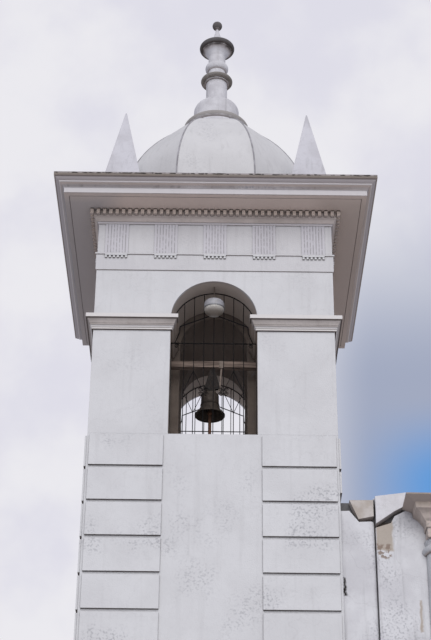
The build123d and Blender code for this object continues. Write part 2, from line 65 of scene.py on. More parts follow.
def linear(code: str) -> tuple[float, float, float, float]:
    """Turns an sRGB hex colour to the linear values that the shaders take.

    Args:
        code: Colour such as "#cbcad0".

    Returns:
        Red, green, blue and an alpha of 1.
    """
    channels = np.array([int(code[i : i + 2], 16) for i in (1, 3, 5)]) / 255
    flat = np.where(channels <= 0.04045, channels / 12.92, ((channels + 0.055) / 1.055) ** 2.4)
    return (*(float(c) for c in flat), 1.0)


def add(tree: Tree, kind: str, inputs: dict | None = None, **settings: object) -> bpy.types.Node:
    """Adds a shader node, gives it its settings, and fills or links its inputs.

    Args:
        tree: Tree that gets the node.
        kind: Type of node without its "ShaderNode" prefix.
        inputs: Value, or socket of another node, for each input by its name or number.
        **settings: Properties of the node.

    Returns:
        The new node.
    """
    made = tree.nodes.new("ShaderNode" + kind)
    for name, value in settings.items():
        setattr(made, name, value)
    for key, value in (inputs or {}).items():
        if isinstance(value, Socket):
            tree.links.new(value, made.inputs[key])
        else:
            made.inputs[key].default_value = value
    return made


def patches(
    tree: Tree,
    size_mm: float,
    low: float,
    high: float,
    strength: float = 1.0,
    stretch: Point = (1, 1, 1),
    detail: float = 3.0,
    seed: float = 0.0,
) -> Socket:
    """Soft patches of cloud-like noise, fixed to the object.

    Args:
        tree: Tree that gets the nodes.
        size_mm: Usual width of a patch in millimetres.
        low: Noise value at which a patch begins.
        high: Noise value at which a patch is at its full strength.
        strength: Greatest value given back.
        stretch: How many times narrower the patches are along each axis.
        detail: How many finer layers the noise has.
        seed: Shift in metres that tells one use from the next.

    Returns:
        Mask from 0 to strength.
    """
    place = add(tree, "TexCoord").outputs["Object"]
    shift = (seed, seed * 0.7, seed * 1.3)
    moved = add(tree, "Mapping", {"Vector": place, "Location": shift, "Scale": stretch})
    noise = add(tree, "TexNoise", {"Vector": moved.outputs[0], "Scale": 1000 / size_mm, "Detail": detail})
    span = {0: noise.outputs[0], 1: low, 2: high, 3: 0.0, 4: strength}
    return add(tree, "MapRange", span, interpolation_type="SMOOTHSTEP").outputs[0]


def hairlines(tree: Tree, cell_mm: float, width_mm: float, strength: float, seed: float = 0.0) -> Socket:
    """Fine cracks: the borders of a random net whose lines wander.

    Args:
        tree: Tree that gets the nodes.
        cell_mm: Mean distance between two cracks.
        width_mm: Width of a crack as it is drawn.
        strength: Greatest value given back.
        seed: Shift in metres that tells one use from the next.

    Returns:
        Mask from 0 to strength, at its greatest in a crack.
    """
    place = add(tree, "TexCoord").outputs["Object"]
    bend = add(tree, "TexNoise", {"Vector": place, "Scale": 4000 / cell_mm, "Detail": 4.0})
    pull = add(tree, "VectorMath", {0: bend.outputs[1], "Scale": cell_mm / 2500}, operation="SCALE")
    moved = add(tree, "VectorMath", {0: place, 1: pull.outputs[0]}, operation="ADD")
    away = add(tree, "VectorMath", {0: moved.outputs[0], 1: (seed, seed, seed)}, operation="ADD")
    net = {"Vector": away.outputs[0], "Scale": 1000 / cell_mm}
    cells = add(tree, "TexVoronoi", net, feature="DISTANCE_TO_EDGE")
    half = width_mm / cell_mm / 2
    return add(tree, "MapRange", {0: cells.outputs[0], 1: half * 2, 2: half, 3: 0.0, 4: strength}).outputs[0]


def underside(tree: Tree, strength: float) -> Socket:
    """Where a surface looks down, as under a cornice: the mask of the painted shade on undersides.

    Args:
        tree: Tree that gets the nodes.
        strength: Greatest value given back.

    Returns:
        Mask from 0 on upright and sloping faces to strength on level undersides.
    """
    facing = add(tree, "SeparateXYZ", {0: add(tree, "NewGeometry").outputs["True Normal"]}).outputs[2]
    return add(tree, "MapRange", {0: facing, 1: -0.6, 2: -0.95, 3: 0.0, 4: strength}).outputs[0]


def hollows(tree: Tree, reach_mm: float, strength: float) -> Socket:
    """Seams, corners and gaps, found by ambient occlusion: where painted shade is laid, mixed with soiling.

    Args:
        tree: Tree that gets the nodes.
        reach_mm: How far a face looks for a neighbour.
        strength: Greatest value given back.

    Returns:
        Mask from 0 in the open to strength in a deep gap.
    """
    open_share = add(tree, "AmbientOcclusion", {"Distance": reach_mm / 1000}, samples=6).outputs["AO"]
    return add(tree, "MapRange", {0: open_share, 1: 0.78, 2: 0.3, 3: 0.0, 4: strength}).outputs[0]


def together(tree: Tree, masks: Sequence[Socket]) -> Socket:
    """Where all of some masks are.

    Args:
        tree: Tree that gets the nodes.
        masks: Two masks or more.

    Returns:
        The masks' product.
    """
    result = masks[0]
    for mask in masks[1:]:
        result = add(tree, "Math", {0: result, 1: mask}, operation="MULTIPLY").outputs[0]
    return result


def coats(tree: Tree, ground: Socket, layers: Sequence[tuple[Socket, str]]) -> Socket:
    """Lays colours over each other, each through its own mask.

    Args:
        tree: Tree that gets the nodes.
        ground: Colour under all of them.
        layers: Mask and hex colour of each coat, from the lowest up.

    Returns:
        The colour that shows.
    """
    for mask, colour in layers:
        mix = add(tree, "Mix", {0: mask, 6: ground, 7: linear(colour)}, data_type="RGBA")
        ground = mix.outputs[2]
    return ground


@dataclass(frozen=True)
class StainOrPaintedLight:
    """A place where a surface has a colour of its own, or painted light or painted shade: a box in space with
    soft and ragged edges.

    Attributes:
        low: Lowest corner of the box in metres.
        high: Highest corner of the box in metres.
        colour: Hex colour of the stain.
        strength: How well it covers, from 0 to 1.
        edge: Width of its soft edge in metres.
        ragged: How far its edge wanders in metres.
        grain_mm: Size of the patches within it.
        cover: Noise value at which those patches begin, where 0 covers the whole box.
    """

    low: Point
    high: Point
    colour: str
    strength: float = 0.8
    edge: float = 0.03
    ragged: float = 0.0
    grain_mm: float = 120.0
    cover: float = 0.0

    def mask(self, tree: Tree) -> Socket:
        """Distance into the box, as the largest of |place - middle| - half size over the three axes.

        Args:
            tree: Tree that gets the nodes.

        Returns:
            Mask from 0 outside the box to the stain's strength in it.
        """
        middle = tuple((a + b) / 2 for a, b in zip(self.low, self.high))
        reach = tuple((b - a) / 2 for a, b in zip(self.low, self.high))
        place = add(tree, "TexCoord").outputs["Object"]
        noise = add(tree, "TexNoise", {"Vector": place, "Scale": 1000 / self.grain_mm, "Detail": 4.0})
        centred = add(tree, "VectorMath", {0: noise.outputs[1], 1: (0.5, 0.5, 0.5)}, operation="SUBTRACT")
        pull = add(tree, "VectorMath", {0: centred.outputs[0], "Scale": 2 * self.ragged}, operation="SCALE")
        moved = add(tree, "VectorMath", {0: place, 1: pull.outputs[0]}, operation="ADD")
        offset = add(tree, "VectorMath", {0: moved.outputs[0], 1: middle}, operation="SUBTRACT")
        away = add(tree, "VectorMath", {0: offset.outputs[0]}, operation="ABSOLUTE")
        past = add(tree, "VectorMath", {0: away.outputs[0], 1: reach}, operation="SUBTRACT")
        parts = add(tree, "SeparateXYZ", {0: past.outputs[0]})
        most = add(tree, "Math", {0: parts.outputs[0], 1: parts.outputs[1]}, operation="MAXIMUM")
        most = add(tree, "Math", {0: most.outputs[0], 1: parts.outputs[2]}, operation="MAXIMUM")
        span = {0: most.outputs[0], 1: self.edge / 2, 2: -self.edge / 2, 3: 0.0, 4: self.strength}
        inside = add(tree, "MapRange", span).outputs[0]
        if not self.cover:
            return inside
        spots = {0: noise.outputs[0], 1: self.cover, 2: self.cover + 0.08}
        return together(tree, [inside, add(tree, "MapRange", spots).outputs[0]])


def new_material(name: str) -> tuple[bpy.types.Material, Tree, bpy.types.Node]:
    """Makes a material with an empty shader.

    Args:
        name: Common name of what it is.

    Returns:
        The material, its tree and its shader node.
    """
    made = bpy.data.materials.new(name)
    made.use_nodes = True
    tree = made.node_tree
    tree.nodes.clear()
    shader = add(tree, "BsdfPrincipled")
    add(tree, "OutputMaterial", {0: shader.outputs[0]})
    return made, tree, shader


@dataclass(frozen=True)
class LimeRender:
    """Lime render, laid by hand on masonry and limewashed: matt, chalky, softly uneven and weathered.

    Attributes:
        name: Common name of the finish.
        colour: Clean limewash.
        cloud: Tone of the duller patches in it.
        cloud_mm: Size of those patches.
        clouding: How much of the duller tone shows, from 0 to 1.
        dirt_and_shade: Colour of rain streaks and hairline cracks, and of the darkening in corners, which is
            soot and soiling together with painted shade.
        hollow_shade_and_dirt: Strength of the painted shade and soiling in seams and corners.
        hollow_mm: How far into a corner that darkening reaches.
        underside_shade: Colour painted on undersides: painted shade, warmed as painted light thrown back from
            the ground.
        underside_shade_strength: Strength of that colour.
        streaking: Strength of the upright marks that rain leaves.
        mildew: Strength of the small grey colonies of mildew.
        growth: Colour of the mildew.
        crazing: Strength of the hairline cracks.
        trowel: Height in metres of the waves that the trowel left.
        round_mm: Radius to which the edges are worn.
        stains_and_painted_light: Places with a colour of their own, and places of painted light or painted
            shade.
    """

    name: str
    colour: str = "#cfcfd1"
    cloud: str = "#bdbcbe"
    cloud_mm: float = 700.0
    clouding: float = 0.3
    dirt_and_shade: str = "#4c4642"
    hollow_shade_and_dirt: float = 0.7
    hollow_mm: float = 70.0
    underside_shade: str = "#a1958f"
    underside_shade_strength: float = 0.9
    streaking: float = 0.06
    mildew: float = 0.15
    growth: str = "#7f8086"
    crazing: float = 0.05
    trowel: float = 0.004
    round_mm: float = 10.0
    stains_and_painted_light: tuple[StainOrPaintedLight, ...] = ()

    def material(self) -> bpy.types.Material:
        """Builds the material: limewash in two tones, rain streaks, mildew, cracks, painted shade on
        undersides and in corners mixed with soiling, and its coloured places.

        Returns:
            The finished material.
        """
        made, tree, shader = new_material(self.name)
        wash = add(tree, "RGB")
        wash.outputs[0].default_value = linear(self.colour)
        streaks = patches(tree, 260, 0.52, 0.75, self.streaking, stretch=(2.4, 2.4, 0.16), seed=3.1)
        colonies = patches(tree, 900, 0.5, 0.68, self.mildew, seed=5.3)
        spots = together(tree, [patches(tree, 42, 0.48, 0.66, detail=8.0, seed=1.7), colonies])
        layers = [
            (patches(tree, self.cloud_mm, 0.36, 0.66, self.clouding), self.cloud),
            (patches(tree, 90, 0.5, 0.72, self.clouding * 0.5, seed=9.0), self.cloud),
            (streaks, self.dirt_and_shade),
            (spots, self.growth),
            (hairlines(tree, 1300, 9, self.crazing, 0.4), self.dirt_and_shade),
            # painted shade on undersides, warmed as painted light thrown back from the ground
            (underside(tree, self.underside_shade_strength), self.underside_shade),
            # painted shade in seams and corners, found by ambient occlusion, mixed with soiling
            (hollows(tree, self.hollow_mm, self.hollow_shade_and_dirt), self.dirt_and_shade),
        ]
        layers += [(stain.mask(tree), stain.colour) for stain in self.stains_and_painted_light]
        shader.inputs["Roughness"].default_value = 0.92
        shader.inputs["Specular IOR Level"].default_value = 0.25
        worn = add(tree, "Bevel", {"Radius": self.round_mm / 1000}, samples=4).outputs[0]
        waves = patches(tree, 200, 0.0, 1.0, detail=2.0, seed=1.0)
        # real grit is 2 to 4 mm across and is drawn at 25 mm, the finest that the picture can show
        grit = patches(tree, 25, 0.2, 0.8, detail=4.0, seed=2.0)
        broad = add(tree, "Bump", {"Distance": self.trowel, "Height": waves, "Normal": worn})
        fine = add(tree, "Bump", {"Distance": 0.002, "Height": grit, "Normal": broad.outputs[0]})
        tree.links.new(coats(tree, wash.outputs[0], layers), shader.inputs["Base Color"])
        tree.links.new(fine.outputs[0], shader.inputs["Normal"])
        return made


@dataclass(frozen=True)
class Metal:
    """Metal that has stood outdoors: a skin of paint or patina, with rust or bare metal in patches.

    Attributes:
        name: Common name of the finish.
        colour: Colour of most of the surface.
        worn: Colour of the worn patches.
        wear: Strength of those patches.
        patch_mm: Size of those patches.
        metallic: 1 for bare metal, 0 for paint or rust.
        roughness: Roughness of the surface.
        lumps: Height in metres of its hammered or cast unevenness.
        sheen: Strength of the mirror-like part of its reflection, where 0.5 is fresh paint.
    """

    name: str
    colour: str
    worn: str
    wear: float = 0.6
    patch_mm: float = 40.0
    metallic: float = 0.0
    roughness: float = 0.6
    lumps: float = 0.001
    sheen: float = 0.5

    def material(self) -> bpy.types.Material:
        """Builds the material: skin, worn patches, a fine grain, and painted shade with soiling in the
        corners.

        Returns:
            The finished material.
        """
        made, tree, shader = new_material(self.name)
        skin = add(tree, "RGB")
        skin.outputs[0].default_value = linear(self.colour)
        layers = [
            (patches(tree, self.patch_mm, 0.5, 0.62, self.wear, seed=4.0), self.worn),
            (patches(tree, self.patch_mm / 6, 0.55, 0.7, self.wear * 0.5, seed=6.0), self.worn),
            # painted shade with soiling in the corners, found by ambient occlusion
            (hollows(tree, 15, 0.5), "#0d0b0a"),
        ]
        shader.inputs["Metallic"].default_value = self.metallic
        shader.inputs["Specular IOR Level"].default_value = self.sheen
        rough = patches(tree, self.patch_mm / 2, 0.3, 0.7, seed=8.0)
        span = {0: rough, 3: self.roughness - 0.1, 4: min(1.0, self.roughness + 0.15)}
        tree.links.new(add(tree, "MapRange", span).outputs[0], shader.inputs["Roughness"])
        grain = patches(tree, 12, 0.2, 0.8, detail=4.0, seed=2.0)
        bump = add(tree, "Bump", {"Distance": self.lumps, "Height": grain})
        tree.links.new(coats(tree, skin.outputs[0], layers), shader.inputs["Base Color"])
        tree.links.new(bump.outputs[0], shader.inputs["Normal"])
        return made


@dataclass(frozen=True)
class Timber:
    """Sawn timber, weathered grey-brown, with its grain along X and checks that opened as it dried.

    Attributes:
        name: Common name of the finish.
        colour: Colour of the weathered wood.
        grain: Darker colour of the late wood.
        grain_mm: Width of a band of grain.
    """

    name: str
    colour: str
    grain: str
    grain_mm: float = 22.0

    def material(self) -> bpy.types.Material:
        """Builds the material: long bands of grain, drying checks, and painted shade with soiling in the
        corners.

        Returns:
            The finished material.
        """
        made, tree, shader = new_material(self.name)
        wood = add(tree, "RGB")
        wood.outputs[0].default_value = linear(self.colour)
        bands = patches(tree, self.grain_mm, 0.4, 0.62, 0.9, stretch=(0.05, 1, 1), detail=5.0)
        checks = patches(tree, 30, 0.66, 0.7, 0.9, stretch=(0.08, 1, 1), seed=2.0)
        # the last coat is painted shade with soiling in the corners, found by ambient occlusion
        layers = [(bands, self.grain), (checks, "#15100d"), (hollows(tree, 30, 0.6), "#15100d")]
        shader.inputs["Roughness"].default_value = 0.85
        bump = add(tree, "Bump", {"Distance": 0.003, "Height": bands})
        tree.links.new(coats(tree, wood.outputs[0], layers), shader.inputs["Base Color"])
        tree.links.new(bump.outputs[0], shader.inputs["Normal"])
        return made


@dataclass(frozen=True)
class LampBowl:
    """Opal glass of a street lamp's bowl: milky and smooth, and darker towards the bottom.

    Attributes:
        name: Common name of the finish.
        colour: Colour of the glass in its upper part.
        dark_tone: Colour of the darker lower part and of small darker patches.
        darker_from: Height in metres at which the darker tone begins.
        darkest_below: Height in metres below which it is darkest.
    """

    name: str
    colour: str
    dark_tone: str
    darker_from: float
    darkest_below: float

    def material(self) -> bpy.types.Material:
        """Builds the material: milky body, smooth skin, a darker tone by height and in patches.

        Returns:
            The finished material.
        """
        made, tree, shader = new_material(self.name)
        glass = add(tree, "RGB")
        glass.outputs[0].default_value = linear(self.colour)
        height = add(tree, "SeparateXYZ", {0: add(tree, "TexCoord").outputs["Object"]}).outputs[2]
        span = {0: height, 1: self.darker_from, 2: self.darkest_below, 3: 0.0, 4: 0.9}
        darker_low = add(tree, "MapRange", span).outputs[0]
        layers = [(darker_low, self.dark_tone), (patches(tree, 30, 0.5, 0.7, 0.35), self.dark_tone)]
        shader.inputs["Roughness"].default_value = 0.3
        shader.inputs["Transmission Weight"].default_value = 0.15
        tree.links.new(coats(tree, glass.outputs[0], layers), shader.inputs["Base Color"])
        return made


def dress(nodes: Sequence[str], material: bpy.types.Material) -> None:
    """Gives some solids of the frame one material.

    Args:
        nodes: Names of the solids.
        material: What they are finished in.
    """
    for name in nodes:
        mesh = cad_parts[name].data
        mesh.materials.clear()
        mesh.materials.append(material)
        log.info("%s is finished in %s", name, material.name)


def grid_mesh(name: str, grids: Sequence[np.ndarray], around: bool, smooth: bool = True) -> bpy.types.Object:
    """Makes one closed piece of some grids of points, each capped at its first and last row.

    Args:
        name: Name of the piece.
        grids: Arrays of rows by columns by 3 coordinates in metres.
        around: True if the last column meets the first.
        smooth: True for a rounded surface.

    Returns:
        The piece, at the origin, with its faces looking out.
    """
    points, faces, start = [], [], 0
    for grid in grids:
        rows, columns = grid.shape[:2]
        row = np.arange(rows - 1)[:, None]
        column = np.arange(columns if around else columns - 1)[None, :]
        beside = (column + 1) % columns
        corners = [row * columns + column, row * columns + beside, (row + 1) * columns + beside]
        corners.append((row + 1) * columns + column)
        quads = np.stack(corners, axis=-1).reshape(-1, 4) + start
        faces += quads.tolist()
        faces.append(list(range(start, start + columns)))
        faces.append(list(range(start + (rows - 1) * columns, start + rows * columns)))
        points.append(grid.reshape(-1, 3))
        start += rows * columns
    mesh = bpy.data.meshes.new(name)
    mesh.from_pydata(np.concatenate(points).tolist(), [], faces)
    shell = bmesh.new()
    shell.from_mesh(mesh)
    bmesh.ops.remove_doubles(shell, verts=shell.verts, dist=1e-6)
    bmesh.ops.dissolve_degenerate(shell, edges=shell.edges, dist=1e-6)
    bmesh.ops.recalc_face_normals(shell, faces=shell.faces)
    shell.to_mesh(mesh)
    shell.free()
    mesh.polygons.foreach_set("use_smooth", np.full(len(mesh.polygons), smooth))
    piece = bpy.data.objects.new(name, mesh)
    bpy.context.scene.collection.objects.link(piece)
    return piece


def sweep(path: np.ndarray, profile: np.ndarray, side: Point) -> np.ndarray:
    """Carries a closed profile along a path.

    A point of the grid is the path's point, plus the profile's first number along the direction that
    is square to both the path and side, plus its second number along side made square to the path.

    Args:
        path: Points of the path, n by 3.
        profile: Points of the profile, m by 2.
        side: Direction that the profile's second number follows.

    Returns:
        Grid of n by m by 3 coordinates.
    """
    along = np.gradient(path, axis=0)
    along /= np.linalg.norm(along, axis=1)[:, None]
    across = np.cross(along, np.array(side, float))
    across /= np.linalg.norm(across, axis=1)[:, None]
    square = np.cross(across, along)
    return path[:, None] + profile[None, :, :1] * across[:, None] + profile[None, :, 1:] * square[:, None]


def round_profile(radius: float, sides: int = 8) -> np.ndarray:
    """Circle of some radius as a profile: radius times the cosine and the sine of even angles."""
    angle = np.linspace(0, 2 * math.pi, sides, endpoint=False)
    return radius * np.stack([np.cos(angle), np.sin(angle)], axis=-1)


def flat_profile(width: float, thickness: float) -> np.ndarray:
    """Oblong of some width and thickness as a profile, from its four corners."""
    return np.array([[-width, -thickness], [width, -thickness], [width, thickness], [-width, thickness]]) / 2


def lathe(profile: Sequence[tuple[float, float]], centre: Point, sides: int = 48) -> np.ndarray:
    """Turns a profile about an upright line: centre plus radius times cosine and sine, and height.

    Args:
        profile: Radius and height of each point in metres, from the bottom up.
        centre: Point from which the heights count.
        sides: Number of points round the turn.

    Returns:
        Grid of profile points by sides by 3 coordinates.
    """
    radius, height = np.array(profile, float).T
    angle = np.linspace(0, 2 * math.pi, sides, endpoint=False)
    x = centre[0] + radius[:, None] * np.cos(angle)
    y = centre[1] + radius[:, None] * np.sin(angle)
    return np.stack([x, y, np.broadcast_to(centre[2] + height[:, None], x.shape)], axis=-1)


def quarter_turned(grid: np.ndarray, axis_x: float, turn: Turn) -> np.ndarray:
    """Turns a grid about the tower's upright middle line by quarter turns.

    Args:
        grid: Points in metres.
        axis_x: Place of the middle line along X.
        turn: Face that the grid goes to from the front face.

    Returns:
        The turned grid.
    """
    angle = turn.value * math.pi / 2
    x, y = grid[..., 0] - axis_x, grid[..., 1]
    turned_x = axis_x + x * math.cos(angle) - y * math.sin(angle)
    return np.stack([turned_x, x * math.sin(angle) + y * math.cos(angle), grid[..., 2]], axis=-1)


def fit(piece: bpy.types.Object, material: bpy.types.Material) -> None:
    """Finishes a new piece: its material and the body it rides on.

    Args:
        piece: The new piece, in place.
        material: What it is finished in.
    """
    piece.data.materials.append(material)
    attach(piece, TOWER)
    log.info("%s has %d faces", piece.name, len(piece.data.polygons))


@dataclass
class Walls:
    """The tower's walls, raised corner panels, piers, arches and vault.

    Attributes:
        axis_x: Place of the tower's middle line along X.
        half: Half of the tower's width.
        sill: Level of the belfry's floor.
        soot_depth: Distance behind the outer faces at which the soot begins.
        soot_gap: Height above the floor at which the soot begins.
        soot_height: Height above the floor up to which there is soot.
    """

    axis_x: float
    half: float = 2.25
    sill: float = 15.67
    soot_depth: float = 0.055
    soot_gap: float = 0.004
    soot_height: float = 3.45

    def soot(self) -> StainOrPaintedLight:
        """Soot and damp on all that lies further in than the outer faces of the belfry.

        Returns:
            The stain.
        """
        reach = self.half - self.soot_depth
        low = (self.axis_x - reach, -reach, self.sill + self.soot_gap)
        high = (self.axis_x + reach, reach, self.sill + self.soot_height)
        return StainOrPaintedLight(low, high, "#b7aba1", 0.92, edge=0.02)

    def build(self) -> None:
        """Dresses the solids of the walls."""
        soot = self.soot()
        lower = LimeRender("Limewashed render", mildew=0.34, hollow_mm=35, hollow_shade_and_dirt=0.5, stains_and_painted_light=(soot,))
        dress([f"{side}_wall" for side in SIDES], lower.material())
        upper = replace(lower, name="Limewashed render of the belfry", mildew=0.12)
        dress(["corner_piers", *(f"arch_{side}" for side in SIDES)], upper.material())
        # the corner panels' undersides are painted dark brown, as painted shade in the seams between the
        # panels
        panel = LimeRender(
            "Limewashed render of the corner panels", mildew=0.5, hollow_mm=30, underside_shade="#4f443d"
        )
        dress(["quoins"], panel.material())
        # undersides inside the belfry get a darker brown as painted shade
        inner = LimeRender("Sooty render", "#72675f", "#5c534c", underside_shade="#6a5f57", clouding=0.8, mildew=0.5)
        dress(["inner_piers", "crossing_vault"], inner.material())
        damp = LimeRender(
            "Damp render of the foot", "#bdbbbd", "#96928f", clouding=0.8, streaking=0.4, mildew=0.7
        )
        dress(["base_course"], damp.material())
        floor = LimeRender("Worn floor screed", "#8b837c", "#6c645e", clouding=0.9, mildew=0.3)
        dress(["belfry_floor"], floor.material())


@dataclass
class Mouldings:
    """Imposts, architrave, frieze with fluted panels, bed mould, dentils and cornice.

    Attributes:
        axis_x: Place of the tower's middle line along X.
        half: Half of the tower's width.
        panel_face: How far the fluted panels stand out.
        flutes: Lower and upper level of the darkening in the flutes: painted shade, laid in patches that also
            stand for soiling.
        lit_fillets: Levels between which the fillets of the imposts are painted light.
        joints: Levels between which the grooves of the imposts are painted darker, as painted shade.
        impost: Lower and upper level of the soot on the inner faces of the imposts.
        fascia: Lower and upper level of the light fascia under the dentils.
        cornice_reach: How far the crust on the cornice's edge reaches from the tower's middle line.
        edge_low: Level at which the cornice's top edge begins.
        edge_top: Level of the cornice's top.
    """

    axis_x: float
    half: float = 2.25
    panel_face: float = 0.014
    flutes: Span = (19.53, 20.19)
    lit_fillets: tuple[Span, ...] = ((17.833, 17.857), (17.868, 17.9), (18.034, 18.12))
    joints: tuple[Span, ...] = ((17.82, 17.832), (17.858, 17.867), (17.901, 17.91), (18.014, 18.031))
    impost: Span = (17.8, 18.12)
    fascia: Span = (20.2, 20.24)
    cornice_reach: float = 3.2
    edge_low: float = 20.765
    edge_top: float = 20.84

    def band(self, low: float, high: float, colour: str) -> StainOrPaintedLight:
        """Colour of all that lies between two levels, such as painted light and shade on the faces of a
        moulding, or lichen along its edge.
        """
        far = self.half + 1.0
        return StainOrPaintedLight((self.axis_x - far, -far, low), (self.axis_x + far, far, high), colour, 0.85, edge=0.004)

    def build(self) -> None:
        """Dresses the solids of the mouldings."""
        self.entablature()
        self.imposts()
        self.bed()
        self.cornice()

    def entablature(self) -> None:
        """Dresses the architrave with its drops, and the frieze with its fluted panels."""
        plain = LimeRender("Limewashed render of the frieze", "#c9c8ca", "#bab8bb", hollow_mm=50, mildew=0.15)
        dress(["architrave", "frieze"], plain.material())
        # the drops' undersides get a dark grey as painted shade, the dark line under them
        drops = LimeRender(
            "Limewashed render of the drops", underside_shade="#827c7a", underside_shade_strength=0.9, hollow_shade_and_dirt=0.3
        )
        dress(["regulae"], drops.material())
        # painted shade in the flutes, in patches that also stand for soiling: it covers all that lies behind
        # the panels' faces
        deep = self.half + self.panel_face - 0.003
        low, high = ((self.axis_x + side * deep, side * deep, z) for side, z in zip((-1, 1), self.flutes))
        flute_darkening = StainOrPaintedLight(low, high, "#6b6765", 0.4, edge=0.004, grain_mm=60, cover=0.42)
        fluted = LimeRender(
            "Limewashed render of the fluted panels", "#c6c4c9", "#b8b6ba", hollow_shade_and_dirt=0.2, stains_and_painted_light=(flute_darkening,)
        )
        dress(["frieze_panels"], fluted.material())

    def imposts(self) -> None:
        """Dresses the imposts: painted light on the fillets, painted shade in the grooves and on undersides,
        and soot on all that faces the belfry.
        """
        # painted light on the fillets and painted shade in the grooves of the imposts
        lit_fillets = [self.band(*span, "#dad7d6") for span in self.lit_fillets]
        lines = [self.band(*span, "#5b524e") for span in self.joints]
        inside = self.half - 0.06
        low, high = ((self.axis_x + side * inside, side * inside, z) for side, z in zip((-1, 1), self.impost))
        soot = StainOrPaintedLight(low, high, "#94877d", 0.85)
        cap = LimeRender(
            "Weathered render of the imposts",
            "#b1aaa7",
            "#968e8a",
            clouding=0.7,
            underside_shade="#615955",
            hollow_mm=22,
            hollow_shade_and_dirt=0.95,
            round_mm=4,
            stains_and_painted_light=(*lit_fillets, *lines, soot),
        )
        dress(["imposts"], cap.material())

    def bed(self) -> None:
        """Dresses the bed mould and the dentils, which get painted shade where they meet the slab and in the
        gaps between them.
        """
        fascia = self.band(*self.fascia, "#c6c3c7")
        bed = LimeRender(
            "Dusty render under the cornice",
            "#c3b9b4",
            "#aaa09a",
            clouding=0.7,
            hollow_mm=40,
            stains_and_painted_light=(fascia,),
        )
        dress(["bed_mould"], bed.material())
        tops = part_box("dentils")[1].z
        # painted shade where the dentils meet the slab above them
        line = self.band(tops - 0.02, tops + 0.01, "#352b26")
        teeth = LimeRender(
            "Dusty render of the dentils with painted shade",
            "#d3c5ba",
            "#b3a598",
            dirt_and_shade="#17120f",
            hollow_mm=50,
            hollow_shade_and_dirt=1.0,
            round_mm=3,
            stains_and_painted_light=(line,),
        )
        dress(["dentils"], teeth.material())

    def cornice(self) -> None:
        """Dresses the cornice: bands of painted light and shade across its profile, painted shade at each
        end, crust and lichen on its edge.
        """
        far = self.cornice_reach
        crust = StainOrPaintedLight(
            (self.axis_x - far, -far, self.edge_low + 0.038),
            (self.axis_x + far, far, self.edge_top - 0.01),
            "#2d2826",
            0.95,
            edge=0.012,
            ragged=0.02,
            grain_mm=90,
            cover=0.46,
        )
        film = self.band(self.edge_top - 0.006, self.edge_top + 0.1, "#6a635c")
        lichen = replace(film, grain_mm=220, cover=0.5)
        # painted light on the corona's face and on the fillet above it, painted shade under the drip and in
        # the hollow of the cyma, and a darker band at the top edge
        profile_light_and_shade_bands = (
            self.band(20.474, 20.486, "#6f6560"),
            self.band(20.488, 20.602, "#cdcacc"),
            self.band(20.672, 20.7, "#d0cccd"),
            self.band(20.7, 20.742, "#aaa4a6"),
            self.band(20.744, self.edge_low - 0.002, "#716866"),
            self.band(self.edge_low, self.edge_low + 0.045, "#7a7168"),
        )
        # painted shade at each end of the cornice: cool grey on the left, warm on the right
        left = self.axis_x - self.half
        shade = StainOrPaintedLight((left - 1.0, -2.75, 20.3), (left + 0.2, 3.3, 20.78), "#888a8f", 0.7, edge=0.6)
        right = self.axis_x + self.half
        right_end_shade = StainOrPaintedLight((right - 0.2, -2.75, 20.3), (right + 1.0, 3.3, 20.78), "#a5978d", 0.7, edge=0.6)
        # its undersides get a warm beige: painted shade with painted light thrown back from the ground
        edge = LimeRender(
            "Weathered render of the cornice",
            "#a7a1a2",
            "#8f8887",
            clouding=0.8,
            streaking=0.4,
            underside_shade="#cbbab0",
            hollow_mm=40,
            mildew=0.8,
            stains_and_painted_light=(shade, right_end_shade, *profile_light_and_shade_bands, crust, lichen),
        )
        dress(["cornice"], edge.material())


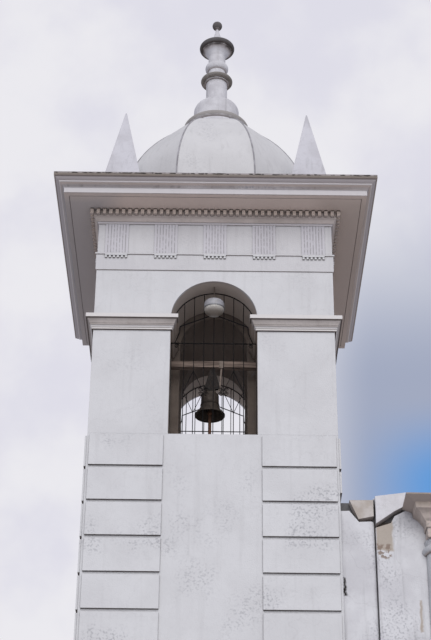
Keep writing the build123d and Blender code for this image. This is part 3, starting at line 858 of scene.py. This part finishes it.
@dataclass
class Dome:
    """The eight-sided dome on its drum, with thin ribs over its creases, and the corner pinnacles.

    Attributes:
        axis_x: Place of the tower's middle line along X.
        spring: Level from which the dome rises.
        radius: Distance from the middle line to the middle of a side at that level.
        curve: Radius of the arc that a side follows, which is longer because the dome is slightly pointed.
        rib_width: Width of a rib.
        rib_height: How far a rib stands out.
        rib_end: Angle up the arc at which a rib goes under the finial.
    """

    axis_x: float
    spring: float = 21.665
    radius: float = 1.9
    curve: float = 2.95
    rib_width: float = 0.032
    rib_height: float = 0.012
    rib_end: float = math.radians(54)

    def ribs(self) -> bpy.types.Object:
        """Ribs along the creases, where two sides of the dome meet.

        At the angle a up the arc, a crease is at the height curve times sin(a), and at the distance
        curve times (cos(a) - 1) plus radius, over cos(22.5 degrees), from the middle line.

        Returns:
            The eight ribs as one piece.
        """
        up = np.linspace(0.0, self.rib_end, 40)
        out = (self.curve * (np.cos(up) - 1) + self.radius) / math.cos(math.pi / 8)
        level = self.spring + self.curve * np.sin(up)
        profile = round_profile(self.rib_width / 2, 10) * np.array([1, 2 * self.rib_height / self.rib_width])
        grids = []
        for number in range(8):
            angle = (number + 0.5) * math.pi / 4
            path = np.stack([self.axis_x + out * math.cos(angle), out * math.sin(angle), level], axis=-1)
            grids.append(sweep(path, profile, (math.cos(angle), math.sin(angle), 0.35)))
        return grid_mesh("dome_ribs", grids, around=True)

    def build(self) -> None:
        """Dresses the dome, drum and pinnacles, and lays the ribs."""
        shell = LimeRender(
            "Weathered render of the dome",
            "#cecdce",
            "#c3c2c3",
            clouding=0.5,
            streaking=0.1,
            crazing=0.0,
            mildew=0.2,
        )
        dress(["dome", "dome_drum"], shell.material())
        # the ribs are coloured darker than the dome: partly soiling, partly painted shade for the shadow
        # along the creases
        rib = LimeRender(
            "Grimy render of the ribs with painted shade", "#a9a7ac", "#8a888c", cloud_mm=180, clouding=0.8, hollow_mm=30
        )
        fit(self.ribs(), rib.material())
        spire = LimeRender(
            "Weathered render of the pinnacles", "#cac9cf", "#b8b6bb", clouding=0.7, streaking=0.2
        )
        dress(["pinnacles"], spire.material())


@dataclass
class Finial:
    """Turned finial of six pieces, mossy on all that rain can lie on.

    Attributes:
        pieces: The solids from the lowest up.
    """

    pieces: tuple[str, ...] = ("base", "drum", "shaft", "neck", "cap", "ball")

    def moss(self, low: float, high: float, colour: str = "#6e6860") -> StainOrPaintedLight:
        """Moss and lichen between two levels."""
        low_corner, high_corner = (-3.0, -3.0, low), (2.0, 3.0, high)
        return StainOrPaintedLight(low_corner, high_corner, colour, 0.85, edge=0.05, ragged=0.05, grain_mm=110)

    def build(self) -> None:
        """Dresses the solids of the finial."""
        base_low, base_high = (corner.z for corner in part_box("finial_base"))
        ring_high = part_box("finial_shaft")[1].z
        cap_low, cap_high = (corner.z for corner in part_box("finial_cap"))
        rim = cap_low + 0.2
        mossy = (
            self.moss(base_high - 0.14, base_high + 0.02, "#8f8a86"),
            self.moss(ring_high - 0.11, ring_high + 0.01),
            self.moss(rim - 0.03, cap_low + 0.38, "#2d2723"),
            self.moss(cap_high, cap_high + 0.5, "#38302b"),
        )
        stone = LimeRender(
            "Weathered render of the finial",
            "#cfced2",
            "#b5b3b7",
            cloud_mm=260,
            clouding=0.6,
            streaking=0.2,
            hollow_mm=28,
            mildew=0.4,
            stains_and_painted_light=mossy,
        )
        dress([f"finial_{piece}" for piece in self.pieces], stone.material())


@dataclass
class Grilles:
    """Iron grilles in the four openings, with their scrolls and lozenges of flat bar.

    Attributes:
        axis_x: Place of the tower's middle line along X.
        plane: Place of the frame's middle along Y at the front.
        bars_front: Place of the front of the upright bars along Y.
        pitch: Distance between two upright bars.
        foot_x: Distance of the slanting bars' scrolls from the middle line.
        foot_z: Level of those scrolls.
        scroll: Outer radius of a scroll.
        scroll_turn: Angle through which a scroll is rolled.
        scroll_bar: Thickness and width of the bar of a scroll.
        middle_z: Level of the middle of the lozenges.
        rise: Half of a lozenge's height.
        lozenge_bar: Thickness and width of the bar of a lozenge.
    """

    axis_x: float
    plane: float = -1.83
    bars_front: float = -1.835
    pitch: float = 0.187
    foot_x: float = 0.70
    foot_z: float = 17.745
    scroll: float = 0.045
    scroll_turn: float = 3.4 * math.pi
    scroll_bar: Span = (0.006, 0.018)
    middle_z: float = 16.755
    rise: float = 0.443
    lozenge_bar: Span = (0.009, 0.012)

    def spiral(self, x: float, z: float, y: float, hand: int) -> np.ndarray:
        """Flat bar rolled up: its radius falls evenly from the outer one to a fifth of it.

        Args:
            x: Distance of the spiral's middle from the middle line.
            z: Level of its middle.
            y: Place of the bar along Y.
            hand: 1 if the bar starts at the left of the spiral's middle, -1 if at its right.

        Returns:
            Grid of the bar's points.
        """
        turn = np.linspace(0, self.scroll_turn, 44)
        radius = self.scroll * (1 - 0.8 * turn / turn[-1])
        along = self.axis_x + x - hand * radius * np.cos(turn)
        path = np.stack([along, np.full_like(turn, y), z + radius * np.sin(turn)], axis=-1)
        return sweep(path, flat_profile(*self.scroll_bar), (0, 1, 0))

    def scrolls(self) -> bpy.types.Object:
        """Scrolls at the feet of the slanting bars, and in pairs beside the corners of the lozenges.

        Returns:
            All scrolls as one piece.
        """
        grids = []
        for side in (-1, 1):
            grids.append(self.spiral(side * self.foot_x, self.foot_z, self.plane + 0.012, side))
            for away in (-1, 1):
                x = side * self.pitch + away * (self.scroll + 0.004)
                for z in (self.middle_z - self.scroll, self.middle_z + self.scroll):
                    grids.append(self.spiral(x, z, self.bars_front - 0.008, -away))
        turned = [quarter_turned(grid, self.axis_x, face) for grid in grids for face in Turn]
        return grid_mesh("grille_scrolls", turned, around=True, smooth=False)

    def lozenges(self) -> bpy.types.Object:
        """Two tall lozenges on each grille, each four straight flat bars from one upright bar to the next.

        Returns:
            All lozenges as one piece.
        """
        grids = []
        for side in (-1, 1):
            x = self.axis_x + side * 2 * self.pitch
            corners = [(x, self.rise), (x + self.pitch, 0), (x, -self.rise), (x - self.pitch, 0)]
            for start, end in zip(corners, corners[1:] + corners[:1]):
                path = [(spot[0], self.bars_front - 0.006, self.middle_z + spot[1]) for spot in (start, end)]
                grids.append(sweep(np.array(path), flat_profile(*self.lozenge_bar), (0, 1, 0)))
        turned = [quarter_turned(grid, self.axis_x, face) for grid in grids for face in Turn]
        return grid_mesh("grille_lozenges", turned, around=True, smooth=False)

    def build(self) -> None:
        """Dresses the grilles and adds the scrolls and lozenges."""
        paint = Metal(
            "Wrought iron in old black paint", "#0b0b0e", "#1a1514", wear=0.4, roughness=0.8, sheen=0.15
        )
        iron = paint.material()
        dress([*(f"grille_{side}" for side in SIDES), "grille_bars"], iron)
        fit(self.scrolls(), iron)
        fit(self.lozenges(), iron)


@dataclass
class Lamp:
    """Round lamp in the front opening: enamelled cap, opal bowl, and the ring that holds the bowl.

    Attributes:
        axis_x: Place of the lamp's middle along X.
        y: Place of the lamp's middle along Y.
        ring: Radius of the ring.
        bore: Radius of the ring's inside.
    """

    axis_x: float
    y: float = -2.035
    ring: float = 0.193
    bore: float = 0.17

    def rim(self, level: float) -> bpy.types.Object:
        """Rolled ring round the lower edge of the cap, with a wider lip at its foot.

        Args:
            level: Level of the lower edge of the cap.

        Returns:
            The ring.
        """
        profile = [
            (self.bore, -0.02),
            (self.ring + 0.004, -0.02),
            (self.ring + 0.01, -0.008),
            (self.ring + 0.004, 0.006),
            (self.ring - 0.012, 0.008),
            (self.bore, 0.0),
        ]
        return grid_mesh("lamp_rim", [lathe(profile, (self.axis_x, self.y, level))], around=True)

    def build(self) -> None:
        """Dresses the lamp and adds the ring."""
        bowl_low, bowl_high = (corner.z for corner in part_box("lamp_bowl"))
        enamel = Metal(
            "White enamel", "#97979c", "#7f7c7b", wear=0.4, patch_mm=60, roughness=0.4, lumps=0.0004
        )
        dress(["lamp_cap"], enamel.material())
        opal = LampBowl("Opal glass", "#c3c0ba", "#8b8177", bowl_low + 0.12, bowl_low + 0.03)
        dress(["lamp_bowl"], opal.material())
        arm = Metal("Grey paint on the lamp's arm", "#574e48", "#463e39", wear=0.4, roughness=0.8, sheen=0.15)
        dress(["lamp_arm"], arm.material())
        steel = Metal("Zinc-coated steel", "#8d8e92", "#6d6a68", wear=0.4, metallic=0.6, roughness=0.45)
        fit(self.rim(bowl_high), steel.material())


@dataclass
class Bell:
    """The bell on its timber beam: canons, raised bands, beam bracket and strap.

    Attributes:
        x: Place of the bell's middle along X.
        y: Place of the bell's middle along Y.
        mouth: Level of the bell's mouth.
        crown: Level of the bell's top.
        beam_low: Level of the beam's underside.
        beam_top: Level of the beam's top.
        beam_front: Distance of the beam's face in front of the bell's middle.
        rings: Radius, height above the mouth and thickness of each raised band.
        canon_turns: Directions of the canons, as angles from the line of the beam.
        canon_bar: Radius of the bar of a canon.
        strap_x: Distance of the strap to the right of the bell's middle.
        strap_bar: Width and thickness of the strap.
        plate: Width and thickness of the bracket plate.
    """

    x: float
    y: float = -1.4
    mouth: float = 16.485
    crown: float = 16.95
    beam_low: float = 17.495
    beam_top: float = 17.62
    beam_front: float = 0.065
    rings: tuple[Point, ...] = ((0.1745, 0.215, 0.007), (0.1725, 0.235, 0.004), (0.154, 0.37, 0.005))
    canon_turns: Point = (0.0, 0.6, -0.6)
    canon_bar: float = 0.011
    strap_x: float = 0.21
    strap_bar: Span = (0.028, 0.005)
    plate: Span = (0.085, 0.006)

    def bands(self) -> bpy.types.Object:
        """Raised bands round the bell: a ring of small round section at each of some heights.

        Returns:
            The bands as one piece.
        """
        grids = []
        turn = np.linspace(0, 2 * math.pi, 64)
        for radius, level, thick in self.rings:
            ring = np.stack([self.x + radius * np.cos(turn), self.y + radius * np.sin(turn)], axis=-1)
            path = np.column_stack([ring, np.full_like(turn, self.mouth + level)])
            grids.append(sweep(path, round_profile(thick, 6), (0, 0, 1)))
        return grid_mesh("bell_bands", grids, around=True)

    def canons(self) -> bpy.types.Object:
        """Six cast loops on the crown, three at each side of the hanger's foot.

        A loop is half an ellipse: its distance from the middle is 75 mm plus 32 mm times the cosine of
        an angle, and its height is 85 mm times the sine.

        Returns:
            The loops as one piece.
        """
        turn = np.linspace(0, math.pi, 20)
        grids = []
        for angle in self.canon_turns:
            for side in (-1, 1):
                away = side * (0.075 + 0.032 * np.cos(turn))
                x = self.x + away * math.cos(angle)
                y = self.y + away * math.sin(angle)
                z = self.crown - 0.006 + 0.085 * np.sin(turn)
                path = np.stack([x, y, z], axis=-1)
                square = (-math.sin(angle), math.cos(angle), 0)
                grids.append(sweep(path, round_profile(self.canon_bar), square))
        return grid_mesh("bell_canons", grids, around=True)

    def strap(self) -> bpy.types.Object:
        """Bracket plate on the beam's face and the flat strap that goes down from it to the crown.

        Returns:
            The plate and the strap as one piece.
        """
        front = self.y - self.beam_front
        middle = self.x + self.strap_x
        down = np.array([[0, 0.012], [0, 0.0], [-0.002, -0.06], [-0.02, -0.33], [-0.045, -0.5]])
        inward = np.linspace(front - 0.006, self.y - 0.02, len(down))
        path = np.stack([middle + down[:, 0], inward, self.beam_low + down[:, 1]], axis=1)
        strap = sweep(path, flat_profile(*self.strap_bar), (0, -1, 0.05))
        levels = np.array([self.beam_low - 0.02, self.beam_top + 0.006])
        upright = np.stack([np.full(2, middle), np.full(2, front - 0.003), levels], axis=-1)
        cover = sweep(upright, flat_profile(*self.plate), (0, -1, 0))
        return grid_mesh("beam_strap", [strap, cover], around=True, smooth=False)

    def build(self) -> None:
        """Dresses the bell's solids and adds its fittings."""
        bronze = Metal(
            "Cast bronze with dark patina",
            "#3a322c",
            "#4a4139",
            wear=0.5,
            patch_mm=70,
            metallic=0.3,
            roughness=0.75,
        ).material()
        dress(["bell"], bronze)
        fit(self.bands(), bronze)
        fit(self.canons(), bronze)
        rusty = Metal("Rusty wrought iron", "#171210", "#2c1f19", wear=0.7, roughness=0.85).material()
        dress(["bell_hanger"], rusty)
        brown = Metal("Rusty iron of the clapper", "#4b3325", "#6b4630", wear=0.7, roughness=0.85).material()
        dress(["clapper"], brown)
        dress(["bell_beam"], Timber("Weathered timber", "#84746a", "#574a42").material())
        zinc = Metal("Weathered zinc-coated strap", "#7d7168", "#5d4f46", wear=0.6, roughness=0.75).material()
        fit(self.strap(), zinc)


@dataclass
class FacadeStub:
    """Stub of the church's front wall at the tower's right: broken top, crack, and half column.

    Attributes:
        axis_x: Place of the tower's middle line along X.
        front: Place of the wall's face along Y.
    """

    axis_x: float
    front: float = -2.15

    def patch(self, across: Span, up: Span, colour: str, strength: float, grain: float) -> StainOrPaintedLight:
        """Coloured place on the wall's face: a real mark, or painted shade where a small cavity is.

        Args:
            across: Its left and right end, counted from the tower's middle line.
            up: Its lower and upper level.
            colour: Hex colour of the stain.
            strength: How well it covers, from 0 to 1.
            grain: Size in millimetres of the patches at its edge.

        Returns:
            The stain.
        """
        low = (self.axis_x + across[0], self.front - 0.6, up[0])
        high = (self.axis_x + across[1], self.front + 0.3, up[1])
        return StainOrPaintedLight(low, high, colour, strength, edge=0.03, ragged=0.04, grain_mm=grain)

    def build(self) -> None:
        """Dresses the solids of the wall and the column."""
        bare = self.patch((2.87, 3.15), (13.5, 14.1), "#aa9f93", 0.9, 140)
        burnt = replace(self.patch((2.87, 3.12), (13.36, 13.62), "#85756a", 0.9, 70), cover=0.46)
        # painted shade: the crack under the broken coping, and the core behind it, are painted near black
        gap_low = (self.axis_x + 2.2, self.front + 0.16, 13.6)
        gap_high = (self.axis_x + 3.5, self.front + 0.9, 14.54)
        gap = StainOrPaintedLight(gap_low, gap_high, "#1d1814", 0.95)
        # painted shade standing in for a small cavity in the wall: a near-black patch on the flat face
        painted_hole = self.patch((2.27, 2.31), (12.66, 12.99), "#1a1613", 1.0, 60)
        brown = self.patch((3.55, 3.59), (12.03, 12.6), "#9a8874", 0.7, 90)
        wall = LimeRender(
            "Stained render of the front wall",
            "#d2d2d5",
            "#bab9bd",
            clouding=0.6,
            hollow_mm=30,
            hollow_shade_and_dirt=0.4,
            streaking=0.2,
            crazing=0.1,
            mildew=0.45,
            stains_and_painted_light=(bare, burnt, gap, painted_hole, brown),
        ).material()
        dress(["facade_wall_left", "facade_wall_right"], wall)
        broken = LimeRender("Broken coping", "#bfb9b5", "#a0958a", cloud_mm=250, clouding=0.6, trowel=0.015)
        dress(["facade_block_left"], broken.material())
        white = LimeRender("Limewashed coping", "#d3d2d6", "#bdbab9", cloud_mm=250, mildew=0.5, trowel=0.015)
        dress(["facade_block_right"], white.material())
        shaft = LimeRender("Weathered render of the column", "#bec0c4", "#a4a5a9", clouding=0.8, mildew=0.8)
        tiers = ("upper", "lower")
        dress([f"{tier}_{part}" for tier in tiers for part in ("column", "pedestal")], shaft.material())
        order = LimeRender(
            "Mossy render of the column's entablature",
            "#beb2aa",
            "#95897f",
            clouding=0.9,
            mildew=0.9,
            hollow_mm=30,
        )
        dress([f"{tier}_entablature" for tier in tiers], order.material())


@dataclass
class Studio:
    """Plain ground, pale surroundings, soft light, and the camera in front of the tower.

    Attributes:
        axis_x: Place of the tower's middle line along X.
        stand: Place of the camera: its offset from the middle line, then Y and Z.
        tilt: Angle by which the camera looks up, in degrees.
        pan: Angle by which it looks to the right, in degrees.
        roll: Angle by which it leans to the left, in degrees.
        focal: Focal length in pixels of the photograph.
        photo_height: Height of the photograph in pixels.
        ground_half: Half of the ground's width.
        sky_light: Strength of the sky's light on the tower.
        sun_strength: Strength of the soft light.
        sun_spread: Width of the soft light's source, in degrees.
        sun_height: Height of the soft light, in degrees above level.
        sun_turn: How far the soft light stands to the right of the camera, in degrees.
    """

    axis_x: float
    stand: Point = (-0.008, -28.33, 2.346)
    tilt: float = 31.075
    pan: float = 0.076
    roll: float = 0.611
    focal: float = 1627.78
    photo_height: int = 640
    ground_half: float = 900.0
    sky_light: float = 0.62
    sun_strength: float = 1.7
    sun_spread: float = 50.0
    sun_height: float = 28.0
    sun_turn: float = 3.0

    def ground(self) -> None:
        """Level ground at the height 0, with a faint mottling."""
        half = self.ground_half
        corners = [(-half, -half, 0), (half, -half, 0), (half, half, 0), (-half, half, 0)]
        mesh = bpy.data.meshes.new("ground")
        mesh.from_pydata(corners, [], [(0, 1, 2, 3)])
        piece = bpy.data.objects.new("ground", mesh)
        bpy.context.scene.collection.objects.link(piece)
        made, tree, shader = new_material("Pale ground")
        plain = add(tree, "RGB")
        plain.outputs[0].default_value = linear("#d2d1d0")
        shader.inputs["Roughness"].default_value = 0.95
        mottled = coats(tree, plain.outputs[0], [(patches(tree, 900, 0.4, 0.7, 0.25), "#c2c1c0")])
        tree.links.new(mottled, shader.inputs["Base Color"])
        mesh.materials.append(made)

    def sky(self, tree: Tree) -> Socket:
        """Thin white cloud with lilac haze, which opens to blue behind the tower, low on the right.

        Args:
            tree: Tree of the surroundings.

        Returns:
            Colour of the sky in the direction of a ray.
        """
        direction = add(tree, "TexCoord").outputs["Generated"]
        way = add(tree, "SeparateXYZ", {0: direction})
        puffs = add(tree, "TexNoise", {"Vector": direction, "Scale": 9.0, "Detail": 5.0}).outputs[0]
        across, forward, upward = way.outputs
        # each place is limited by soft steps: a value, where the step is still 0, and where it reaches 1
        limits = {
            "haze": [(puffs, 0.42, 0.62)],
            "ahead": [(forward, 0.7, 0.8), (upward, 0.32, 0.4), (across, 0.35, 0.2)],
            "side": [(across, 0.03, 0.1), (upward, 0.6, 0.48)],
            "open": [(across, 0.075, 0.14), (upward, 0.475, 0.425)],
        }
        places = {}
        for name, steps in limits.items():
            spans = [{0: value, 1: start, 2: end} for value, start, end in steps]
            made = [add(tree, "MapRange", span, interpolation_type="SMOOTHSTEP") for span in spans]
            places[name] = together(tree, [step.outputs[0] for step in made])
        side, open_sky = (together(tree, [places["ahead"], places[name]]) for name in ("side", "open"))
        cloud = add(tree, "RGB")
        cloud.outputs[0].default_value = linear("#ebeaef")
        layers = [(places["haze"], "#dedde8"), (side, "#a2aac0"), (open_sky, "#639bd9")]
        return coats(tree, cloud.outputs[0], layers)

    def surroundings(self) -> None:
        """Pale sky all round: seen at its own colour, and lighting the tower a little less."""
        world = bpy.data.worlds.new("Surroundings")
        world.use_nodes = True
        tree = world.node_tree
        tree.nodes.clear()
        rays = add(tree, "LightPath").outputs
        seen = rays["Is Camera Ray"]
        for kind in ("Is Glossy Ray", "Is Transmission Ray"):
            seen = add(tree, "Math", {0: seen, 1: rays[kind]}, operation="MAXIMUM").outputs[0]
        shown = add(tree, "Background", {0: self.sky(tree), 1: 1.0})
        light = add(tree, "Background", {0: linear("#eef0ff"), 1: self.sky_light})
        both = add(tree, "MixShader", {0: seen, 1: light.outputs[0], 2: shown.outputs[0]})
        add(tree, "OutputWorld", {0: both.outputs[0]})
        bpy.context.scene.world = world

    def lamps(self) -> None:
        """One broad, soft light from behind the camera."""
        lamp = bpy.data.lights.new("soft_key", "SUN")
        lamp.energy = self.sun_strength
        lamp.angle = math.radians(self.sun_spread)
        lamp.color = (1.0, 0.985, 0.96)
        piece = bpy.data.objects.new("soft_key", lamp)
        piece.rotation_euler = (math.radians(90 - self.sun_height), 0, math.radians(self.sun_turn))
        bpy.context.scene.collection.objects.link(piece)

    def camera(self) -> None:
        """Camera low in front of the tower: it looks forward and up, and leans a little."""
        tilt, pan, roll = (math.radians(a) for a in (self.tilt, self.pan, self.roll))
        forward = Vector((math.sin(pan) * math.cos(tilt), math.cos(pan) * math.cos(tilt), math.sin(tilt)))
        level_right = Vector((math.cos(pan), -math.sin(pan), 0))
        level_up = level_right.cross(forward)
        right = level_right * math.cos(roll) + level_up * math.sin(roll)
        up = level_up * math.cos(roll) - level_right * math.sin(roll)
        lens = bpy.data.cameras.new("photo_camera")
        lens.lens = lens.sensor_width * self.focal / self.photo_height
        lens.clip_end = 500
        piece = bpy.data.objects.new("photo_camera", lens)
        turn = Matrix((right, up, -forward)).transposed().to_4x4()
        spot = Vector((self.axis_x + self.stand[0], self.stand[1], self.stand[2]))
        piece.matrix_world = Matrix.Translation(spot) @ turn
        bpy.context.scene.collection.objects.link(piece)
        bpy.context.scene.camera = piece

    def build(self) -> None:
        """Sets the ground, sky, light, camera and the plain view transform."""
        bpy.context.scene.view_settings.view_transform = "Standard"
        self.ground()
        self.surroundings()
        self.lamps()
        self.camera()


def main() -> None:
    """Builds the looks in order."""
    logging.basicConfig(level=logging.INFO, format="%(name)s: %(message)s")
    low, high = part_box("dome")
    axis_x = (low.x + high.x) / 2
    bell_low, bell_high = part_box("bell")
    for part in (
        Studio(axis_x),
        Walls(axis_x),
        Mouldings(axis_x),
        Dome(axis_x),
        Finial(),
        Grilles(axis_x),
        Lamp(axis_x),
        Bell((bell_low.x + bell_high.x) / 2),
        FacadeStub(axis_x),
    ):
        part.build()
        log.info("%s is done", type(part).__name__)


if __name__ == "__main__":
    main()
